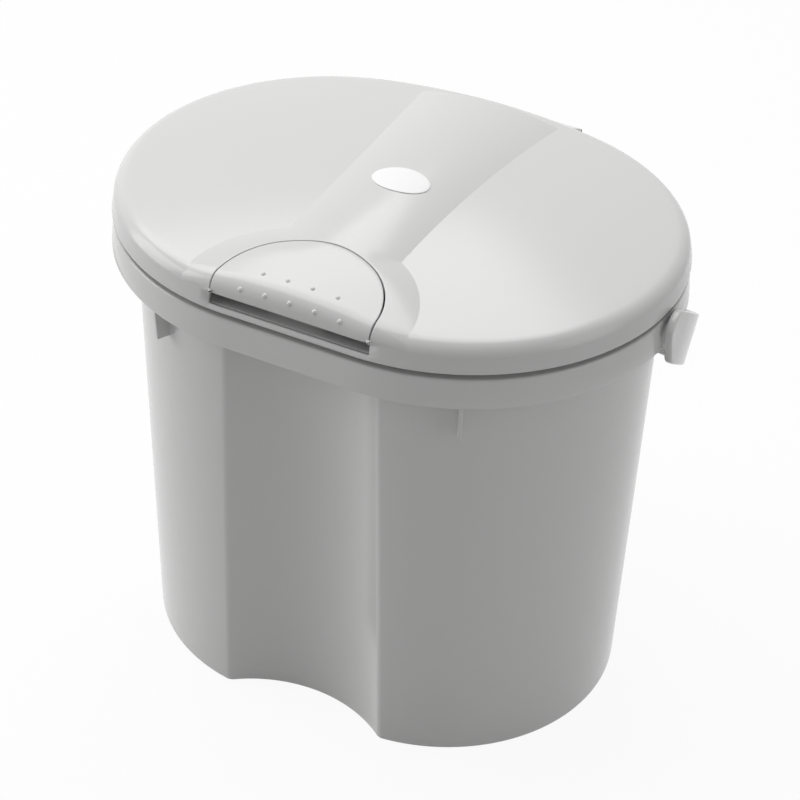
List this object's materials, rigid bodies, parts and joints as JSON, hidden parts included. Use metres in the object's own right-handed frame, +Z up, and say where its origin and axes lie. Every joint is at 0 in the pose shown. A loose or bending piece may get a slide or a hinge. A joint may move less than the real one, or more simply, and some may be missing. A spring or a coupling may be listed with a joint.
{
  "type": "nappy bin",
  "caption": "Oval nappy bin with a bag ring, a hinged lid with a press button latch and a swing handle.",
  "frame": {"origin": "on the floor, on the underside of the bucket, midway between the centres of the two end arcs", "axes": "+Z up; -Y towards the front, where the button is; +Y towards the hinge; X along the oval's length"},
  "size_m": [0.3324, 0.2712, 0.3033],
  "materials": {
    "body_plastic": "light grey moulded plastic with a soft gloss",
    "seal_rubber": "grey soft rubber",
    "label_film": "blank white film",
    "pin_steel": "bright steel"
  },
  "bodies": {
    "base": {"bucket": "body_plastic", "bag_ring": "body_plastic"},
    "lid": {"lid_shell": "body_plastic", "lid_liner": "body_plastic", "lid_seal": "seal_rubber", "label": "label_film", "hinge_pin": "pin_steel", "button_pin": "pin_steel", "return_spring": "pin_steel"},
    "button": {"release_button": "body_plastic", "latch_hook": "body_plastic"},
    "handle": {"carry_handle": "body_plastic", "handle_ends": "body_plastic"}
  },
  "joints": [
    {"name": "lid_hinge", "type": "hinge", "parent": "base", "child": "lid", "pos_m": [0, 0.1374, 0.2655], "axis": [-1, 0, 0], "range_deg": [0, 105]},
    {"name": "button_press", "type": "hinge", "parent": "lid", "child": "button", "pos_m": [0, -0.0819, 0.2897], "axis": [1, 0, 0], "range_deg": [0, 5.5], "stiffness_Nm_per_rad": 2, "springref_deg": -2.86, "deforming": ["return_spring"]},
    {"name": "handle_swing", "type": "hinge", "parent": "base", "child": "handle", "pos_m": [0, -0.0055, 0.2615], "axis": [1, 0, 0], "range_deg": [0, 200]}
  ]
}
